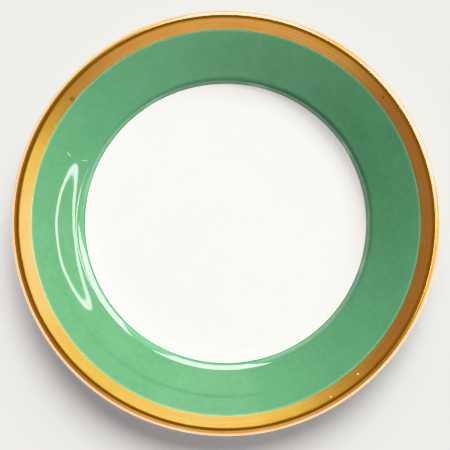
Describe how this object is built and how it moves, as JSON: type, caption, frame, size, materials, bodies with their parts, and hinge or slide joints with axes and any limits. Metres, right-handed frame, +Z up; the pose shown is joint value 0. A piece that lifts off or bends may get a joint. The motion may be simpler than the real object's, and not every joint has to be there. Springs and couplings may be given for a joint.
{
  "type": "dinner plate",
  "caption": "Round china dinner plate with a white well, a wide green enamelled rim and a gilded edge, resting on a foot ring.",
  "frame": {"origin": "centre of the foot ring's standing face, on the table", "axes": "+Z up along the plate's axis of revolution, from the foot to the face; X and Y are free"},
  "size_m": [0.267, 0.267, 0.0245],
  "materials": {
    "biscuit": "fired unglazed porcelain, matt, bare only on the foot's standing face",
    "glaze": "clear glossy glaze, milk white over the porcelain",
    "green_enamel": "glossy mid green on-glaze enamel with a fine stipple",
    "gilding": "burnished gold with fine turned brush lines, worn slightly at the lip"
  },
  "bodies": {
    "root": {"porcelain_body": "biscuit", "glaze_coat": "glaze", "base_glaze": "glaze", "green_enamel_band": "green_enamel", "gilt_band": "gilding", "gilt_edge": "gilding"}
  },
  "joints": []
}
